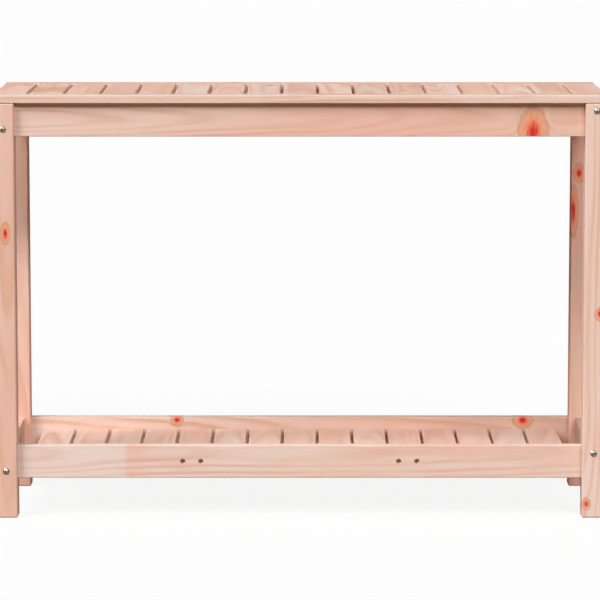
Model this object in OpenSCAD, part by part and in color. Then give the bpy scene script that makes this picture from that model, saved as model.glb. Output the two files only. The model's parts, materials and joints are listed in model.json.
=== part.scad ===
// Slatted wooden potting bench: four square legs, an apron frame under a slatted
// top, and a lower rail frame around a slatted shelf. X runs along the bench,
// the front faces -Y, and the floor is at Z = 0 below the middle of the bench.

/* [Overall size] */
// Length of the bench, left to right
bench_w = 1080; // [800:1:1200]
// Depth of the bench, front to back
bench_d = 350; // [290:1:700]
// Height of the work top above the floor
bench_h = 750; // [500:1:1100]

/* [Legs] */
// Side of the square leg
leg_size = 40; // [34:1:70]
// Radius of the leg's long edges
leg_edge_r = 3; // [0.5:0.5:6]
// Chamfer at the leg's two ends
leg_end_chamfer = 2; // [0.5:0.5:5]

/* [Rails] */
// Height of the aprons and of the shelf rails
rail_h = 59; // [50:1:90]
// Thickness of the aprons and of the shelf rails
rail_t = 18; // [14:1:28]
// Height of the shelf rails' lower edge above the floor
shelf_rail_z = 70; // [20:1:250]
// Radius of the long edges of every rail, slat and strip
board_edge_r = 1.5; // [0.5:0.5:3]

/* [Slats] */
// Width of one slat
slat_w = 58; // [46:1:90]
// Thickness of the slats and of the top's edge strips
slat_t = 14; // [14:1:24]
// Smallest gap between two slats
slat_gap_min = 5.5; // [3:0.5:15]
// Reach of the top's edge strips past the aprons' inner faces, over the battens
edge_strip_lap = 16; // [12:1:24]
// Gap between the shelf slats' ends and the rails
shelf_gap = 1; // [0.5:0.5:5]

/* [Battens] */
// Width of the battens under the top, inside the aprons
top_batten_w = 40; // [36:1:60]
// Thickness of the battens under the top
top_batten_t = 22; // [16:1:30]
// Width of the battens under the shelf
shelf_batten_w = 30; // [20:1:50]
// Thickness of the battens under the shelf
shelf_batten_t = 16; // [12:1:22]
// Distance of the shelf battens' middle from the rails
shelf_batten_inset = 36; // [30:1:60]

/* [Frame bolts and dowels] */
// Radius of the bolt's shank
bolt_r = 3; // [2:0.5:4]
// Length of the bolt below its head
bolt_l = 70; // [60:1:90]
// Radius of the bolt's head
bolt_head_r = 6; // [5:0.5:8]
// Height of the bolt's domed head, which stands on the leg's face
bolt_head_h = 3.2; // [2.5:0.1:4.5]
// Distance of the bolt and of the dowel from the rail's middle height
bolt_offset = 16; // [10:1:22]
// Radius of the dowel in each rail end
dowel_r = 4; // [3:0.5:5]
// Length of the dowel in each rail end
dowel_l = 28; // [20:1:30]
// Wood left in the leg between a dowel's end and the bolt that crosses there
dowel_bolt_wall = 3; // [2:0.5:5]

/* [Screws] */
// Radius of the wood screws' shank
screw_r = 2; // [1.5:0.1:2.5]
// Radius of the wood screws' countersunk head
screw_head_r = 3.8; // [3:0.1:5]
// Depth that a wood screw reaches into the last piece that it holds
screw_bite = 10; // [8:1:12]
// Sideways distance of a slat's screw from the slat's middle
screw_offset = 15; // [8:1:20]
// Length of the screws through the long shelf rails
tie_screw_l = 40; // [34:1:50]
// Half the distance between the two screws of a tied shelf slat
tie_screw_offset = 16; // [10:1:22]
// Radius of the recess over the screws in the long shelf rails
tie_bore_r = 4.8; // [4:0.1:6]
// Depth of the recess over the screws in the long shelf rails
tie_bore_h = 4; // [1:0.5:8]

/* [Fits] */
// Clearance round every bolt, screw and dowel
fastener_clearance = 0.1; // [0.05:0.05:0.3]
// Space left past the end of every bolt, screw and dowel
end_clearance = 1; // [0.5:0.5:3]
// Gap between the top's battens and the legs
batten_clearance = 1; // [0.5:0.5:4]

/* [Hidden] */
$fn = 32;
SIDES = [-1, 1];
WOOD = "burlywood";
PALE_WOOD = "wheat";
STEEL = "silver";

// Depth of the hexagon and cross recesses in the heads
socket_h = 1.6;
// Radius of the bolt's hexagon socket, over its corners
socket_r = 2.6;
// Width of one arm of the cross recess
cross_w = 1;
// Distance of the outermost batten screws from the battens' ends
batten_end_margin = 8;
// Excess by which a cutter passes the face that it opens
cut = 1;

// Heights
top_z = bench_h - slat_t;
apron_mid_z = top_z - rail_h / 2;
shelf_mid_z = shelf_rail_z + rail_h / 2;
shelf_slat_z = shelf_mid_z - slat_t / 2;
rail_levels = [shelf_mid_z, apron_mid_z];

// Distance from a leg's outer face to the middle of the dowel in the rail's end
dowel_depth = leg_size / 2 + bolt_r + dowel_bolt_wall + dowel_l / 2;

// Plan: the rails' and bolts' lines run through the middle of the legs
leg_x = (bench_w - leg_size) / 2;
leg_y = (bench_d - leg_size) / 2;
long_rail_l = bench_w - 2 * leg_size;
side_rail_l = bench_d - 2 * leg_size;
rail_inner_y = leg_y - rail_t / 2;

// Slats: as many as the length holds, then spread evenly to both ends
top_count = floor((bench_w + slat_gap_min) / (slat_w + slat_gap_min));
shelf_count = top_count - 2;
slat_pitch = (bench_w - slat_w) / (top_count - 1);
// The shelf slats that are screwed to the long rails, a third of the way in
tie_slat = round(shelf_count / 3);
edge_strip_w = (leg_size + rail_t) / 2 + edge_strip_lap;
top_slat_l = bench_d - 2 * edge_strip_w;
shelf_slat_l = 2 * (rail_inner_y - shelf_gap);

// Battens
top_batten_l = long_rail_l - 2 * batten_clearance;
top_batten_y = rail_inner_y - top_batten_w / 2;
top_batten_z = top_z - top_batten_t / 2;
// The gaps between slats at which a top batten is screwed to its apron
top_batten_gaps = [2, round(top_count / 3)];
// The slats, from each end to the middle, in line with which an edge strip is screwed
edge_screw_slats = [2:3:top_count / 2];
// The screws' lines: on the batten's lap under the slats, and on its lap under the strip
slat_screw_y = rail_inner_y - (edge_strip_lap + top_batten_w) / 2;
edge_screw_y = rail_inner_y - edge_strip_lap / 2;
shelf_batten_l = (shelf_count - 1) * slat_pitch + slat_w;
shelf_batten_y = rail_inner_y - shelf_batten_inset;
shelf_batten_z = shelf_slat_z - shelf_batten_t / 2;

function side_word(sx) = sx < 0 ? "left" : "right";
function end_word(sy) = sy < 0 ? "front" : "rear";
function leg_name(sx, sy) = str(end_word(sy), "_", side_word(sx), "_leg");
function rail_word(level) = level == apron_mid_z ? "_apron" : "_shelf_rail";
function slat_x(i, count) = (i - (count + 1) / 2) * slat_pitch;
function within(x, limit) = max(-limit, min(limit, x));

// The screw of top slat i in one batten, kept on the batten at the two end slats
function top_screw_x(i, sy) =
    within(slat_x(i, top_count) + sy * screw_offset, top_batten_l / 2 - batten_end_margin);

// ---- Blanks ----

module rounded_rectangle(w, h, r) {
    square([w - 2 * r, h], center = true);
    square([w, h - 2 * r], center = true);
    for (x = SIDES, y = SIDES)
        translate([x * (w / 2 - r), y * (h / 2 - r)]) circle(r = r);
}

// Board along X, centred on the origin
module board_x(length, depth, height) {
    rotate([90, 0, 90])
        linear_extrude(length, center = true) rounded_rectangle(depth, height, board_edge_r);
}

// Board along Y, centred on the origin
module board_y(length, width, height) {
    rotate([90, 0, 0])
        linear_extrude(length, center = true) rounded_rectangle(width, height, board_edge_r);
}

// Outline of a leg seen from one side, with its ends chamfered
module leg_outline() {
    half = leg_size / 2;
    flat = half - leg_end_chamfer;
    polygon([
        [-flat, 0], [flat, 0], [half, leg_end_chamfer], [half, top_z - leg_end_chamfer],
        [flat, top_z], [-flat, top_z], [-half, top_z - leg_end_chamfer], [-half, leg_end_chamfer]
    ]);
}

module leg_blank() {
    intersection() {
        linear_extrude(top_z) rounded_rectangle(leg_size, leg_size, leg_edge_r);
        rotate([90, 0, 0]) linear_extrude(leg_size + 2 * cut, center = true) leg_outline();
        rotate([90, 0, 90]) linear_extrude(leg_size + 2 * cut, center = true) leg_outline();
    }
}

// ---- Fasteners: each stands in a face at Z = 0, and points down into the wood ----

// Bolt with a domed head, which stands on the face
module bolt() {
    dome_r = (bolt_head_r * bolt_head_r + bolt_head_h * bolt_head_h) / (2 * bolt_head_h);
    difference() {
        intersection() {
            cylinder(r = bolt_head_r, h = bolt_head_h);
            translate([0, 0, bolt_head_h - dome_r]) sphere(r = dome_r, $fn = 64);
        }
        translate([0, 0, bolt_head_h - socket_h]) cylinder(r = socket_r, h = bolt_head_h, $fn = 6);
    }
    translate([0, 0, -bolt_l]) cylinder(r = bolt_r, h = bolt_l);
}

module bolt_hole() {
    depth = bolt_l + end_clearance;
    translate([0, 0, -depth]) cylinder(r = bolt_r + fastener_clearance, h = depth + cut);
}

// Countersunk screw, its head's flat face recess below the wood's face
module wood_screw(length, recess = 0) {
    cone_h = screw_head_r - screw_r;
    translate([0, 0, -recess]) {
        difference() {
            translate([0, 0, -cone_h]) cylinder(r1 = screw_r, r2 = screw_head_r, h = cone_h);
            for (turn = [0, 90])
                rotate([0, 0, turn]) cube([2 * screw_r, cross_w, 2 * socket_h], center = true);
        }
        translate([0, 0, -length]) cylinder(r = screw_r, h = length - cone_h);
    }
}

module wood_screw_hole(length, recess = 0, bore_r = 0) {
    cone_h = screw_head_r - screw_r;
    hole_r = screw_r + fastener_clearance;
    mouth_r = screw_head_r + fastener_clearance;
    depth = recess + length + end_clearance;
    translate([0, 0, -recess - cone_h]) cylinder(r1 = hole_r, r2 = mouth_r, h = cone_h);
    translate([0, 0, -recess]) cylinder(r = max(bore_r, mouth_r), h = recess + cut);
    translate([0, 0, -depth]) cylinder(r = hole_r, h = depth);
}

module dowel(r, length) {
    cylinder(r = r, h = length, center = true);
}

module dowel_hole(r, length) {
    cylinder(r = r + fastener_clearance, h = length + end_clearance, center = true);
}

// ---- Places of the fasteners ----

// Side of the rail's middle on which the bolt of a corner's long rail lies. Every
// leg is the same piece turned by a quarter, so the sign changes round the bench
function long_bolt_side(sx, sy) = sx * sy;

// On a leg's outer side face, on the line of a long rail
module at_long_rail(sx, sy, z) {
    translate([sx * bench_w / 2, sy * leg_y, z]) rotate([0, sx * 90, 0]) children();
}

// On a leg's front or rear face, on the line of a side rail
module at_side_rail(sx, sy, z) {
    translate([sx * leg_x, sy * bench_d / 2, z]) rotate([-sy * 90, 0, 0]) children();
}

module long_rail_bolt_place(sx, sy, level) {
    at_long_rail(sx, sy, level + long_bolt_side(sx, sy) * bolt_offset) children();
}

module side_rail_bolt_place(sx, sy, level) {
    at_side_rail(sx, sy, level - long_bolt_side(sx, sy) * bolt_offset) children();
}

module long_rail_dowel_place(sx, sy, level) {
    at_long_rail(sx, sy, level - long_bolt_side(sx, sy) * bolt_offset)
        translate([0, 0, -dowel_depth]) children();
}

module side_rail_dowel_place(sx, sy, level) {
    at_side_rail(sx, sy, level + long_bolt_side(sx, sy) * bolt_offset)
        translate([0, 0, -dowel_depth]) children();
}

// Under a top batten, below slat i
module top_screw_place(i, sy) {
    x = top_screw_x(i, sy);
    translate([x, sy * slat_screw_y, top_z - top_batten_t]) rotate([180, 0, 0]) children();
}

// Under a top batten, below the edge strip and in line with slat i of one side
module edge_screw_place(i, sx, sy) {
    x = sx * slat_x(i, top_count);
    translate([x, sy * edge_screw_y, top_z - top_batten_t]) rotate([180, 0, 0]) children();
}

// On a top batten's inner face, between two slats
module batten_screw_place(gap, sx, sy) {
    x = sx * (slat_x(gap, top_count) + slat_pitch / 2);
    y = sy * (rail_inner_y - top_batten_w);
    translate([x, y, top_batten_z]) rotate([sy * 90, 0, 0]) children();
}

// Under a shelf batten, below slat i
module shelf_screw_place(i, sy) {
    x = slat_x(i, shelf_count) + sy * screw_offset;
    z = shelf_slat_z - shelf_batten_t;
    translate([x, sy * shelf_batten_y, z]) rotate([180, 0, 0]) children();
}

// On the outer face of a long shelf rail, in line with the tied slat of one side
module tie_screw_place(sx, sy, pair) {
    x = sx * slat_x(tie_slat, shelf_count) + pair * tie_screw_offset;
    translate([x, sy * (leg_y + rail_t / 2), shelf_mid_z]) rotate([-sy * 90, 0, 0]) children();
}

top_screw_l = top_batten_t + screw_bite;
batten_screw_l = top_batten_w + screw_bite;
shelf_screw_l = shelf_batten_t + screw_bite;

// ---- Wooden pieces ----

module leg(sx, sy) {
    color(WOOD) difference() {
        translate([sx * leg_x, sy * leg_y, 0]) leg_blank();
        for (level = rail_levels) {
            long_rail_bolt_place(sx, sy, level) bolt_hole();
            side_rail_bolt_place(sx, sy, level) bolt_hole();
            long_rail_dowel_place(sx, sy, level) dowel_hole(dowel_r, dowel_l);
            side_rail_dowel_place(sx, sy, level) dowel_hole(dowel_r, dowel_l);
        }
    }
}

module drilled_long_rail(sy, level) {
    difference() {
        translate([0, sy * leg_y, level]) board_x(long_rail_l, rail_t, rail_h);
        for (sx = SIDES) {
            long_rail_bolt_place(sx, sy, level) bolt_hole();
            long_rail_dowel_place(sx, sy, level) dowel_hole(dowel_r, dowel_l);
        }
    }
}

module side_rail(sx, level) {
    color(WOOD) difference() {
        translate([sx * leg_x, 0, level]) board_y(side_rail_l, rail_t, rail_h);
        for (sy = SIDES) {
            side_rail_bolt_place(sx, sy, level) bolt_hole();
            side_rail_dowel_place(sx, sy, level) dowel_hole(dowel_r, dowel_l);
        }
    }
}

module long_apron(sy) {
    color(WOOD) difference() {
        drilled_long_rail(sy, apron_mid_z);
        for (gap = top_batten_gaps, sx = SIDES)
            batten_screw_place(gap, sx, sy) wood_screw_hole(batten_screw_l);
    }
}

module long_shelf_rail(sy) {
    color(WOOD) difference() {
        drilled_long_rail(sy, shelf_mid_z);
        for (sx = SIDES, pair = SIDES)
            tie_screw_place(sx, sy, pair) wood_screw_hole(tie_screw_l, tie_bore_h, tie_bore_r);
    }
}

module top_edge(sy) {
    color(PALE_WOOD) difference() {
        translate([0, sy * (bench_d - edge_strip_w) / 2, top_z + slat_t / 2])
            board_x(bench_w, edge_strip_w, slat_t);
        for (i = edge_screw_slats, sx = SIDES)
            edge_screw_place(i, sx, sy) wood_screw_hole(top_screw_l);
    }
}

module top_batten(sy) {
    color(WOOD) difference() {
        translate([0, sy * top_batten_y, top_batten_z])
            board_x(top_batten_l, top_batten_w, top_batten_t);
        for (i = [1:top_count]) top_screw_place(i, sy) wood_screw_hole(top_screw_l);
        for (i = edge_screw_slats, sx = SIDES)
            edge_screw_place(i, sx, sy) wood_screw_hole(top_screw_l);
        for (gap = top_batten_gaps, sx = SIDES)
            batten_screw_place(gap, sx, sy) wood_screw_hole(batten_screw_l);
    }
}

module top_slat(i) {
    color(PALE_WOOD) difference() {
        translate([slat_x(i, top_count), 0, top_z + slat_t / 2]) board_y(top_slat_l, slat_w, slat_t);
        for (sy = SIDES) top_screw_place(i, sy) wood_screw_hole(top_screw_l);
    }
}

module shelf_batten(sy) {
    color(WOOD) difference() {
        translate([0, sy * shelf_batten_y, shelf_batten_z])
            board_x(shelf_batten_l, shelf_batten_w, shelf_batten_t);
        for (i = [1:shelf_count]) shelf_screw_place(i, sy) wood_screw_hole(shelf_screw_l);
    }
}

module shelf_slat(i) {
    tied = i == tie_slat || i == shelf_count + 1 - tie_slat;
    color(PALE_WOOD) difference() {
        translate([slat_x(i, shelf_count), 0, shelf_mid_z]) board_y(shelf_slat_l, slat_w, slat_t);
        for (sy = SIDES) shelf_screw_place(i, sy) wood_screw_hole(shelf_screw_l);
        if (tied)
            for (sy = SIDES, pair = SIDES)
                tie_screw_place(i == tie_slat ? 1 : -1, sy, pair)
                    wood_screw_hole(tie_screw_l, tie_bore_h, tie_bore_r);
    }
}

// ---- Fastener groups ----

module frame_bolts() {
    color(STEEL) for (sx = SIDES, sy = SIDES, level = rail_levels) {
        long_rail_bolt_place(sx, sy, level) bolt();
        side_rail_bolt_place(sx, sy, level) bolt();
    }
}

module frame_dowels() {
    color(PALE_WOOD) for (sx = SIDES, sy = SIDES, level = rail_levels) {
        long_rail_dowel_place(sx, sy, level) dowel(dowel_r, dowel_l);
        side_rail_dowel_place(sx, sy, level) dowel(dowel_r, dowel_l);
    }
}

module top_edge_screws() {
    color(STEEL) for (i = edge_screw_slats, sx = SIDES, sy = SIDES)
        edge_screw_place(i, sx, sy) wood_screw(top_screw_l);
}

module top_slat_screws() {
    color(STEEL) for (i = [1:top_count], sy = SIDES) top_screw_place(i, sy) wood_screw(top_screw_l);
}

module top_batten_screws() {
    color(STEEL) for (gap = top_batten_gaps, sx = SIDES, sy = SIDES)
        batten_screw_place(gap, sx, sy) wood_screw(batten_screw_l);
}

module shelf_slat_screws() {
    color(STEEL) for (i = [1:shelf_count], sy = SIDES) shelf_screw_place(i, sy) wood_screw(shelf_screw_l);
}

module shelf_tie_screws() {
    color(STEEL) for (sx = SIDES, sy = SIDES, pair = SIDES)
        tie_screw_place(sx, sy, pair) wood_screw(tie_screw_l, tie_bore_h);
}

for (sx = SIDES, sy = SIDES) leg(sx, sy);
for (sy = SIDES) long_apron(sy);
for (sy = SIDES)
    long_shelf_rail(sy);
for (level = rail_levels, sx = SIDES)
    side_rail(sx, level);
for (sy = SIDES) top_edge(sy);
for (sy = SIDES) top_batten(sy);
for (sy = SIDES)
    shelf_batten(sy);
for (i = [1:top_count]) top_slat(i);
for (i = [1:shelf_count]) shelf_slat(i);
frame_bolts();
frame_dowels();
top_edge_screws();
top_slat_screws();
top_batten_screws();
shelf_slat_screws();
shelf_tie_screws();
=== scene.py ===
"""Looks of the slatted potting bench: solid softwood boards and steel screws in a pale studio."""

import json
import math
import random

import bpy
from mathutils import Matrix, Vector


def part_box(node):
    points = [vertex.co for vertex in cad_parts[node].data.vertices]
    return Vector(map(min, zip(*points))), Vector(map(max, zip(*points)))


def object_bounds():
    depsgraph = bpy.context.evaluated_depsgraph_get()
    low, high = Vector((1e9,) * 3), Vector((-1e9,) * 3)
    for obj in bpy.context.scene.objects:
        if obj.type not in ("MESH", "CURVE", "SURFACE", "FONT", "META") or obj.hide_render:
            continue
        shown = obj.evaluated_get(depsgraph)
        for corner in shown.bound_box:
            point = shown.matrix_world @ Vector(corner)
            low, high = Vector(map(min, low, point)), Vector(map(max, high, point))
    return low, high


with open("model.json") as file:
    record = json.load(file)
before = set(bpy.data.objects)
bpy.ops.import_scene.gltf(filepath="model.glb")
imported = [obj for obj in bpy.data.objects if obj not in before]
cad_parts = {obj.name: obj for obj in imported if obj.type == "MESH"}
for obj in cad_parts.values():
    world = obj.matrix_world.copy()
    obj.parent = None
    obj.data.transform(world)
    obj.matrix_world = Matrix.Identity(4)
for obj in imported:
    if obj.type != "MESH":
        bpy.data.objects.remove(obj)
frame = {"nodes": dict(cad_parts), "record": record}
CAD_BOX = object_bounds()

MM = 0.001
FRONT_Y = CAD_BOX[0].y

# Camera: metres right of the bench's middle, in front of its front and above the floor,
# degrees that it looks down, and the lens in millimetres
CAMERA_X = 0.0005
CAMERA_DISTANCE = 6.099
CAMERA_HEIGHT = 1.182
CAMERA_PITCH = 7.398
CAMERA_LENS = 209.8

# Soft boxes, seen from the bench's middle: degrees left of the camera, degrees above
# the floor, strength, and the angle that the box spans
LIGHTS = {
    "key": (-12.0, 37.0, 1.0, 14.0),
    "right": (-32.0, 36.0, 1.1, 16.0),
    "left": (55.0, 44.0, 3.3, 26.0),
    "back": (180.0, 10.0, 0.8, 30.0),
}
# Light from the room, and the warmer light that comes up from the ground
ROOM_GLOW = (0.02, 0.02, 0.02)
GROUND_GLOW = (0.32, 0.235, 0.19)

# Pale floor and surround: they glow by themselves, so that they stay near white
FLOOR_SIZE = 160.0
FLOOR_COLOUR = (0.07, 0.0695, 0.069)
FLOOR_EMISSION = 0.90
DOME_RADIUS = 40.0
DOME_COLOUR = (0.0, 0.0, 0.0)
DOME_EMISSION = 0.93

# Linear colours of planed softwood
SAPWOOD = (0.77, 0.615, 0.545)
HEARTWOOD = (0.735, 0.46, 0.365)
LATEWOOD = (0.64, 0.355, 0.235)
BLUSH = (0.77, 0.43, 0.36)
HONEY = (0.74, 0.505, 0.36)
SALMON = (0.77, 0.43, 0.33)
UMBER = (0.62, 0.33, 0.18)
KNOT_CORE = (0.56, 0.02, 0.018)
KNOT_BODY = (0.71, 0.115, 0.06)
KNOT_HALO = (0.75, 0.31, 0.165)
KNOT_RIM = (0.42, 0.215, 0.11)
RESIN = (0.40, 0.18, 0.10)
PALE_END = (0.77, 0.64, 0.59)

# Linear colours of a hardwood dowel and of dulled zinc plate, at the two ends of their noise
HARDWOOD = ((0.70, 0.50, 0.34), (0.56, 0.37, 0.23))
ZINC = ((0.38, 0.355, 0.29), (0.54, 0.51, 0.43))

# Noises in the wood: features per metre along, across and through the board
STEM_WOBBLE = (1.6, 0.0, 0.0)
RING_WARP = (5.0, 26.0, 26.0)
SAPWOOD_DRIFT = (2.2, 22.0, 22.0)
BLUSH_PATCHES = (4.0, 20.0, 20.0)
HONEY_STREAKS = (2.0, 60.0, 60.0)
LINE_FADING = (3.0, 18.0, 18.0)
STAIN_CLOUDS = (9.0, 30.0, 30.0)
KNOT_RAGS = (260.0, 55.0, 90.0)
EDGE_LIGHTENING_BREAKUP = (40.0, 120.0, 120.0)
FIBRES = (30.0, 1500.0, 1500.0)
RESIN_CANALS = (75.0, 900.0, 900.0)

# A year's ring: place in the ring and how much late wood is there
RING_STOPS = ((0.0, 0.55), (0.2, 0.05), (0.5, 0.1), (0.82, 0.8), (0.93, 1.0))

# Zones of a knot, in knot radii from its axis: where each starts and where it is full
HALO_ZONE = (2.9, 2.1)
STREAK_ZONE = (2.4, 1.6)
RIM_INSIDE = (2.2, 2.6)
RIM_OUTSIDE = (3.1, 2.7)
BODY_ZONE = (1.5, 0.85)
CORE_ZONE = (0.95, 0.4)

# Relief of each surface, from its lowest to its highest point
WOOD_RELIEF = 0.25 * MM
DOWEL_RELIEF = 0.15 * MM
STEEL_RELIEF = 0.04 * MM

# Sockets of a colour Mix node
MIX_SHARE, MIX_A, MIX_B, MIX_RESULT = 0, 6, 7, 2


# ---- Node building ----


class Graph:
    """Short calls that add nodes to one material. A value is a constant or another node's output."""

    def __init__(self, name):
        self.material = bpy.data.materials.new(name)
        self.material.use_nodes = True
        self.nodes = self.material.node_tree.nodes
        self.links = self.material.node_tree.links
        self.shader = self.nodes["Principled BSDF"]

    def feed(self, socket, value):
        if isinstance(value, bpy.types.NodeSocket):
            self.links.new(value, socket)
        elif socket.type == "RGBA":
            socket.default_value = (*value, 1.0)
        else:
            socket.default_value = value

    def add(self, kind, inputs, out=0, **settings):
        node = self.nodes.new(kind)
        for name, value in settings.items():
            setattr(node, name, value)
        for key, value in inputs.items():
            self.feed(node.inputs[key], value)
        return node.outputs[out]

    def math(self, operation, a, b=0.0, c=0.0):
        return self.add("ShaderNodeMath", {0: a, 1: b, 2: c}, operation=operation)

    def vector(self, operation, a, b=(0, 0, 0), c=(0, 0, 0)):
        return self.add("ShaderNodeVectorMath", {0: a, 1: b, 2: c}, operation=operation)

    def smooth(self, value, low, high, start=0.0, end=1.0):
        """Start where the value is low, end where it is high, with a soft step between."""
        inputs = {"Value": value, "From Min": low, "From Max": high, "To Min": start, "To Max": end}
        return self.add("ShaderNodeMapRange", inputs, interpolation_type="SMOOTHSTEP")

    def noise(self, place, stretch, seed, detail=2.0, roughness=0.5):
        """Noise with stretch features per metre on each axis, moved by seed."""
        spread = self.vector("MULTIPLY_ADD", place, stretch, seed)
        inputs = {"Vector": spread, "Scale": 1.0, "Detail": detail, "Roughness": roughness}
        return self.add("ShaderNodeTexNoise", inputs, out="Fac")

    def mix(self, share, a, b, blend="MIX"):
        node = self.nodes.new("ShaderNodeMix")
        node.data_type = "RGBA"
        node.blend_type = blend
        for key, value in ((MIX_SHARE, share), (MIX_A, a), (MIX_B, b)):
            self.feed(node.inputs[key], value)
        return node.outputs[MIX_RESULT]

    def ramp(self, value, stops):
        node = self.nodes.new("ShaderNodeValToRGB")
        node.color_ramp.interpolation = "EASE"
        elements = node.color_ramp.elements
        for _ in stops[2:]:
            elements.new(0.5)
        for element, (place, level) in zip(elements, stops):
            element.position = place
            element.color = (level, level, level, 1.0)
        self.feed(node.inputs[0], value)
        return node.outputs[0]

    def finish(self, colour, roughness, height, depth, specular=0.32):
        self.feed(self.shader.inputs["Base Color"], colour)
        self.feed(self.shader.inputs["Roughness"], roughness)
        self.shader.inputs["Specular IOR Level"].default_value = specular
        normal = self.add("ShaderNodeBump", {"Height": height, "Strength": 1.0, "Distance": depth})
        self.feed(self.shader.inputs["Normal"], normal)
        return self.material


# ---- Wood ----


def board_axes(node):
    """(axes from longest to thinnest, middle, size) of a CAD board."""
    low, high = (Vector(corner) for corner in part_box(node))
    size = high - low
    axes = sorted(range(3), key=lambda axis: -size[axis])
    return axes, (low + high) / 2, size


class Board:
    """One board's grain: its own piece of a tree, cut along the pith, with the knots it holds."""

    def __init__(self, node, knots, stains, pale, tone):
        self.random = random.Random(node)
        self.axes, self.middle, self.size = board_axes(node)
        self.knots = knots
        self.stains = stains
        self.pale = pale
        self.tone = tone
        self.pith = (self.random.uniform(-0.02, 0.02), self.random.uniform(0.03, 0.075))
        self.graph = Graph("wood." + node)

    def seed(self):
        return tuple(self.random.uniform(-50, 50) for _ in range(3))

    def place(self):
        """Metres along, across and through the board, from its middle."""
        g = self.graph
        coordinates = g.add("ShaderNodeTexCoord", {}, out="Object")
        split = g.nodes.new("ShaderNodeSeparateXYZ")
        g.feed(split.inputs[0], coordinates)
        parts = [g.math("SUBTRACT", split.outputs[axis], self.middle[axis]) for axis in self.axes]
        return parts, g.add("ShaderNodeCombineXYZ", dict(enumerate(parts)))

    def knot_distance(self, knot, parts):
        """Distance from a knot's axis, in knot radii: 1 at its bark edge."""
        g = self.graph
        along, across, radius, stretch = knot
        dx = g.math("SUBTRACT", parts[0], along)
        dx = g.math("DIVIDE", g.math("MULTIPLY_ADD", parts[2], 0.35, dx), radius * stretch)
        dy = g.math("DIVIDE", g.math("SUBTRACT", parts[1], across), radius)
        return g.math("SQRT", g.math("ADD", g.math("MULTIPLY", dx, dx), g.math("MULTIPLY", dy, dy)))

    def ring_radius(self, parts, place, knots):
        """Distance from the pith, bent by the stem's taper, its wobble and each knot."""
        g, r = self.graph, self.random
        wobble = g.noise(place, STEM_WOBBLE, self.seed(), detail=1.0)
        slope_w, slope_t = r.uniform(-0.03, 0.03), r.choice((-1, 1)) * r.uniform(0.008, 0.03)
        w = g.math("ADD", g.math("MULTIPLY_ADD", parts[0], slope_w, self.pith[0]), parts[1])
        t = g.math("ADD", g.math("MULTIPLY_ADD", parts[0], slope_t, self.pith[1]), parts[2])
        t = g.math("MULTIPLY_ADD", wobble, 0.03, t)
        radius = g.math("SQRT", g.math("ADD", g.math("MULTIPLY", w, w), g.math("MULTIPLY", t, t)))
        warp = g.noise(place, RING_WARP, self.seed(), detail=3.0)
        radius = g.math("MULTIPLY_ADD", warp, 0.007, radius)
        for knot, distance in knots:
            bump = g.math("EXPONENT", g.math("MULTIPLY", g.math("MULTIPLY", distance, distance), -0.16))
            radius = g.math("MULTIPLY_ADD", bump, 1.3 * knot[2], radius)
        return radius

    def late_share(self, radius):
        """0 in the pale early wood, rising to 1 in the dark line that ends each year's ring."""
        g = self.graph
        spacing = self.random.uniform(4.5, 8.5) * MM
        turns = g.math("DIVIDE", radius, spacing)
        uneven = g.add("ShaderNodeCombineXYZ", {0: g.math("MULTIPLY", turns, 0.35)})
        turns = g.math("MULTIPLY_ADD", g.noise(uneven, (1.0, 1.0, 1.0), self.seed()), 1.6, turns)
        return g.ramp(g.math("FRACT", turns), RING_STOPS)

    def pale_share(self, parts, place):
        """How much of the wood is pale sapwood: it drifts from one end's share to the other's."""
        g = self.graph
        start, end = self.pale
        length = self.size[self.axes[0]]
        share = g.math("MULTIPLY_ADD", parts[0], (end - start) / length, (start + end) / 2)
        drift = g.noise(place, SAPWOOD_DRIFT, self.seed(), detail=2.0)
        share = g.math("ADD", g.math("MULTIPLY_ADD", drift, 1.6, -0.8), share)
        return g.smooth(share, -0.1, 1.1)

    def grain_colour(self, parts, place, late):
        """Sapwood and heartwood with pink patches, honey streaks and the rings' dark lines."""
        g = self.graph
        colour = g.mix(self.pale_share(parts, place), HEARTWOOD, SAPWOOD)
        patches = g.noise(place, BLUSH_PATCHES, self.seed(), detail=2.0)
        colour = g.mix(g.smooth(patches, 0.48, 0.72, 0.0, 0.6), colour, BLUSH)
        streaks = g.noise(place, HONEY_STREAKS, self.seed(), detail=3.0, roughness=0.6)
        colour = g.mix(g.smooth(streaks, 0.45, 0.75, 0.0, 0.6), colour, HONEY)
        faded = g.smooth(g.noise(place, LINE_FADING, self.seed()), 0.3, 0.7, 0.15, 0.8)
        return g.mix(g.math("MULTIPLY", late, faded), colour, LATEWOOD)

    def stain_colour(self, colour, parts, place):
        """Stretches of another colour, each with its own two soft ends."""
        g = self.graph
        cloud = g.noise(place, STAIN_CLOUDS, self.seed(), detail=2.0)
        for rise, full, fade, gone, stain, strength in self.stains:
            share = g.math("MULTIPLY", g.smooth(parts[0], rise, full), g.smooth(parts[0], gone, fade))
            share = g.math("MULTIPLY", share, g.smooth(cloud, 0.3, 0.6, 0.4 * strength, strength))
            colour = g.mix(share, colour, stain)
        return colour

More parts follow.
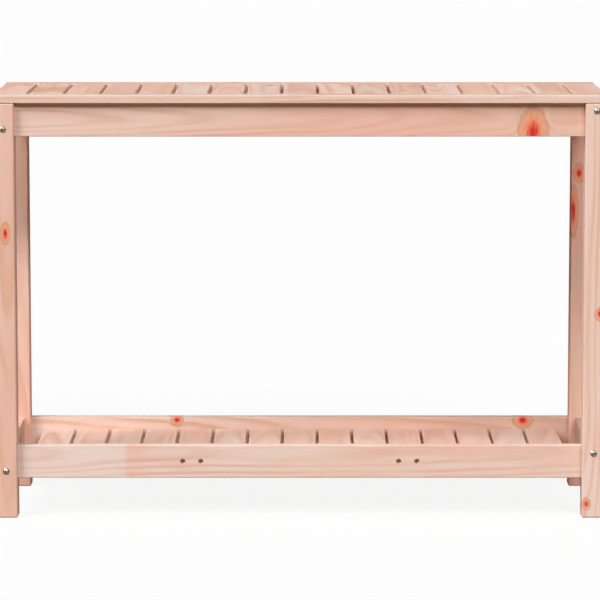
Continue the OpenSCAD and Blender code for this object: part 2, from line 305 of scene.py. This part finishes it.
    def knot_colour(self, colour, knots, place):
        """Each knot from outside in: brown rim, orange halo with red streaks, body and core."""
        g = self.graph
        ragged = g.noise(place, KNOT_RAGS, self.seed(), detail=3.0)
        for _, distance in knots:
            edge = g.math("MULTIPLY_ADD", ragged, 1.4, g.math("SUBTRACT", distance, 0.7))
            years = g.math("MULTIPLY_ADD", g.math("SINE", g.math("MULTIPLY", edge, 9.0)), 0.14, 0.8)
            colour = g.mix(g.math("MULTIPLY", g.smooth(edge, *HALO_ZONE), years), colour, KNOT_HALO)
            ragged_share = g.smooth(ragged, 0.45, 0.65, 0.0, 0.6)
            streak = g.math("MULTIPLY", g.smooth(edge, *STREAK_ZONE), ragged_share)
            colour = g.mix(streak, colour, KNOT_BODY)
            outside = g.smooth(edge, *RIM_OUTSIDE, 0.0, 0.45)
            rim = g.math("MULTIPLY", g.smooth(edge, *RIM_INSIDE), outside)
            colour = g.mix(rim, colour, KNOT_RIM)
            colour = g.mix(g.smooth(edge, *BODY_ZONE), colour, KNOT_BODY)
            colour = g.mix(g.smooth(edge, *CORE_ZONE), colour, KNOT_CORE)
        return colour

    def end_share(self):
        """1 on the two sawn ends, 0 on the planed faces."""
        g = self.graph
        normal = g.add("ShaderNodeTexCoord", {}, out="Normal")
        split = g.nodes.new("ShaderNodeSeparateXYZ")
        g.feed(split.inputs[0], normal)
        return g.smooth(g.math("ABSOLUTE", split.outputs[self.axes[0]]), 0.6, 0.95)

    def edge_lightening_share(self, parts, place):
        """1 along the long edges, broken up by noise."""
        g = self.graph
        inset = [
            g.math("SUBTRACT", self.size[axis] / 2, g.math("ABSOLUTE", part))
            for axis, part in zip(self.axes[1:], parts[1:])
        ]
        edge = g.smooth(g.math("ADD", *inset), 4.0 * MM, 0.6 * MM)
        edge_breakup = g.noise(place, EDGE_LIGHTENING_BREAKUP, self.seed(), detail=3.0)
        return g.math("MULTIPLY", edge, g.smooth(edge_breakup, 0.35, 0.65))

    def material(self):
        g = self.graph
        parts, place = self.place()
        knots = [(knot, self.knot_distance(knot, parts)) for knot in self.knots]
        radius = self.ring_radius(parts, place, knots)
        late = self.late_share(radius)
        fibre = g.noise(place, FIBRES, self.seed(), detail=3.0, roughness=0.6)
        colour = self.grain_colour(parts, place, late)
        colour = self.stain_colour(colour, parts, place)
        colour = g.mix(g.smooth(fibre, 0.35, 0.75, 0.0, 0.14), colour, LATEWOOD)
        canals = g.noise(place, RESIN_CANALS, self.seed(), detail=1.0)
        colour = g.mix(g.smooth(canals, 0.72, 0.78, 0.0, 0.35), colour, RESIN)
        colour = self.knot_colour(colour, knots, place)
        # Lighter sapwood colour mixed in along the long edges
        colour = g.mix(g.math("MULTIPLY", self.edge_lightening_share(parts, place), 0.35), colour, SAPWOOD)
        ends = self.end_share()
        colour = g.mix(g.math("MULTIPLY", ends, 0.4), colour, LATEWOOD)
        # The board's tone: left to chance for most boards, painted light or painted shade for those in
        # the tone table
        shade = (self.tone,) * 3
        colour = g.mix(1.0, colour, shade, blend="MULTIPLY")
        roughness = g.math("MULTIPLY_ADD", fibre, 0.2, g.math("MULTIPLY_ADD", late, -0.12, 0.52))
        height = g.math("MULTIPLY_ADD", late, 0.35, g.math("MULTIPLY", fibre, 0.8))
        return g.finish(colour, roughness, height, WOOD_RELIEF)


# A board's knots, each (metres along the board, metres across it, radius, how far it is
# drawn out along the grain). A board with an empty list has none
KNOTS = {
    "front_apron": [(0.406, -0.022, 0.0165, 0.58)],
    "front_shelf_rail": [],
    "top_front_edge": [],
    "rear_left_leg": [],
    "front_left_leg": [(0.132, 0.003, 0.003, 2.4)],
    "front_right_leg": [(-0.010, 0.009, 0.0035, 1.3), (-0.350, -0.012, 0.003, 1.4)],
    "rear_shelf_rail": [(-0.231, 0.024, 0.0045, 1.0), (0.412, 0.023, 0.0058, 1.15)],
    "rear_right_leg": [(0.21, -0.006, 0.004, 1.6), (0.14, -0.016, 0.0035, 5.0)],
    "shelf_slat_9": [(-0.06, 0.002, 0.003, 1.6)],
}

# Share of pale sapwood at a board's low end and at its high end, where it isn't left to chance
PALE = {
    "front_apron": (0.35, 0.05),
    "front_shelf_rail": (0.95, 0.75),
    "rear_shelf_rail": (1.0, -0.15),
    "top_front_edge": (0.75, 0.6),
    "front_left_leg": (0.1, 0.15),
    "front_right_leg": (0.8, 0.65),
    "rear_left_leg": (0.3, 0.45),
    "rear_right_leg": (0.05, 0.0),
}

# Painted light and painted shade: how much lighter or darker than the others a board is made, where it
# isn't left to chance; the rear legs are lightened and the rear rail, right side rail and rear edge
# strip darkened to match how light falls on them
PAINTED_LIGHT_AND_SHADE_TONES = {
    "rear_shelf_rail": 0.91,
    "right_shelf_rail": 0.72,
    "rear_left_leg": 1.05,
    "rear_right_leg": 1.06,
    "top_rear_edge": 0.94,
}

# A stain is (where it starts, is full, starts to fade and is gone, in metres along the board,
# its colour, how strong it is)
STAINS = {
    "front_shelf_rail": [
        (-0.51, -0.50, -0.314, -0.300, PALE_END, 0.6),
        (-0.316, -0.302, -0.290, -0.250, SALMON, 0.5),
    ],
    "front_apron": [(-0.10, 0.10, 0.22, 0.34, BLUSH, 0.5)],
    "top_slat_2": [(-0.11, -0.08, 0.02, 0.06, UMBER, 0.75)],
    "top_slat_5": [(-0.13, 0.0, 0.08, 0.13, SALMON, 0.5)],
    "rear_right_leg": [(0.05, 0.12, 0.26, 0.36, BLUSH, 0.8)],
}


def random_knots(node):
    """None, one or two small knots for a board that has none of its own."""
    chance = random.Random("knots " + node)
    _, _, size = board_axes(node)
    length, width = sorted(size, reverse=True)[:2]
    count = chance.choice((0, 0, 0, 0, 1)) if length < 0.5 else chance.choice((0, 1, 1, 2))
    return [
        (
            chance.uniform(-0.42, 0.42) * length,
            chance.uniform(-0.35, 0.35) * width,
            chance.uniform(1.8, 4.5) * MM,
            chance.uniform(1.0, 1.8),
        )
        for _ in range(count)
    ]


def wood(node):
    """The material of one board, with its own grain."""
    chance = random.Random("tone " + node)
    knots = KNOTS[node] if node in KNOTS else random_knots(node)
    share, tone = chance.uniform(0.1, 0.7), chance.uniform(0.96, 1.04)
    pale = PALE.get(node, (share, share))
    return Board(node, knots, STAINS.get(node, ()), pale, PAINTED_LIGHT_AND_SHADE_TONES.get(node, tone)).material()


def dowel_wood():
    """Turned hardwood, with short flecks."""
    g = Graph("dowel_wood")
    place = g.add("ShaderNodeTexCoord", {}, out="Object")
    fleck = g.noise(place, (260.0, 260.0, 260.0), (3.0, 5.0, 7.0), detail=4.0)
    roughness = g.math("MULTIPLY_ADD", fleck, 0.2, 0.5)
    return g.finish(g.mix(fleck, *HARDWOOD), roughness, fleck, DOWEL_RELIEF)


def steel():
    """Zinc plate gone dull and a little yellow, with a fine cloudy finish."""
    g = Graph("steel")
    place = g.add("ShaderNodeTexCoord", {}, out="Object")
    cloud = g.noise(place, (420.0, 420.0, 420.0), (1.0, 2.0, 4.0), detail=3.0)
    roughness = g.math("MULTIPLY_ADD", cloud, 0.2, 0.3)
    material = g.finish(g.mix(cloud, *ZINC), roughness, cloud, STEEL_RELIEF, specular=0.5)
    g.shader.inputs["Metallic"].default_value = 1.0
    return material


def assign(node, material):
    for slot in frame["nodes"][node].material_slots:
        slot.material = material


def finish_nodes():
    slots = {part["node"]: part["material_slot"] for part in frame["record"]["subparts"]}
    shared = {"steel": steel(), "dowel_wood": dowel_wood()}
    for node in frame["nodes"]:
        assign(node, shared.get(slots[node]) or wood(node))


# ---- Studio ----


def plain_material(name, colour, glow):
    """A matt pale material that also glows white."""
    material = bpy.data.materials.new(name)
    material.use_nodes = True
    shader = material.node_tree.nodes["Principled BSDF"]
    shader.inputs["Base Color"].default_value = (*colour, 1.0)
    shader.inputs["Roughness"].default_value = 0.9
    shader.inputs["Specular IOR Level"].default_value = 0.0
    shader.inputs["Emission Color"].default_value = (1.0, 1.0, 1.0, 1.0)
    shader.inputs["Emission Strength"].default_value = glow
    return material


def floor():
    bpy.ops.mesh.primitive_plane_add(size=FLOOR_SIZE, location=(0, 0, CAD_BOX[0].z))
    plane = bpy.context.object
    plane.name = "floor"
    plane.data.materials.append(plain_material("floor_white", FLOOR_COLOUR, FLOOR_EMISSION))
    plane.visible_diffuse = False
    plane.visible_glossy = False
    plane.visible_shadow = False


def dome():
    """A pale surround that only the camera sees, so that every view has the same plain background."""
    bpy.ops.mesh.primitive_uv_sphere_add(radius=DOME_RADIUS, segments=48, ring_count=24)
    shell = bpy.context.object
    shell.name = "surround"
    shell.data.materials.append(plain_material("surround_white", DOME_COLOUR, DOME_EMISSION))
    shell.visible_diffuse = False
    shell.visible_glossy = False
    shell.visible_transmission = False
    shell.visible_shadow = False


def soft_box(name, azimuth, elevation, strength, angle):
    """A distant light, azimuth degrees to the left of the camera."""
    a, e = math.radians(azimuth), math.radians(elevation)
    toward = Vector((-math.sin(a) * math.cos(e), -math.cos(a) * math.cos(e), math.sin(e)))
    light = bpy.data.lights.new(name, "SUN")
    light.energy = strength
    light.angle = math.radians(angle)
    lamp = bpy.data.objects.new(name, light)
    lamp.rotation_euler = toward.to_track_quat("Z", "Y").to_euler()
    # A light from behind would glare off the work top
    lamp.visible_glossy = toward.y < 0
    bpy.context.collection.objects.link(lamp)


def room():
    """A dim room above the horizon, and below it the light that the ground throws back."""
    world = bpy.data.worlds.new("studio")
    bpy.context.scene.world = world
    world.use_nodes = True
    nodes, links = world.node_tree.nodes, world.node_tree.links
    direction = nodes.new("ShaderNodeTexCoord").outputs["Generated"]
    split = nodes.new("ShaderNodeSeparateXYZ")
    upward = nodes.new("ShaderNodeMath")
    upward.operation = "GREATER_THAN"
    upward.inputs[1].default_value = 0.0
    mix = nodes.new("ShaderNodeMix")
    mix.data_type = "RGBA"
    mix.inputs[MIX_A].default_value = (*GROUND_GLOW, 1.0)
    mix.inputs[MIX_B].default_value = (*ROOM_GLOW, 1.0)
    links.new(direction, split.inputs[0])
    links.new(split.outputs["Z"], upward.inputs[0])
    links.new(upward.outputs[0], mix.inputs[MIX_SHARE])
    links.new(mix.outputs[MIX_RESULT], nodes["Background"].inputs["Color"])


def camera():
    data = bpy.data.cameras.new("camera")
    data.lens = CAMERA_LENS
    view = bpy.data.objects.new("camera", data)
    view.location = (CAMERA_X, FRONT_Y - CAMERA_DISTANCE, CAMERA_HEIGHT)
    view.rotation_euler = (math.radians(90 - CAMERA_PITCH), 0, 0)
    bpy.context.collection.objects.link(view)
    bpy.context.scene.camera = view


def studio():
    floor()
    dome()
    room()
    for name, box in LIGHTS.items():
        soft_box(name, *box)
    camera()
    bpy.context.scene.view_settings.view_transform = "Standard"


finish_nodes()
studio()
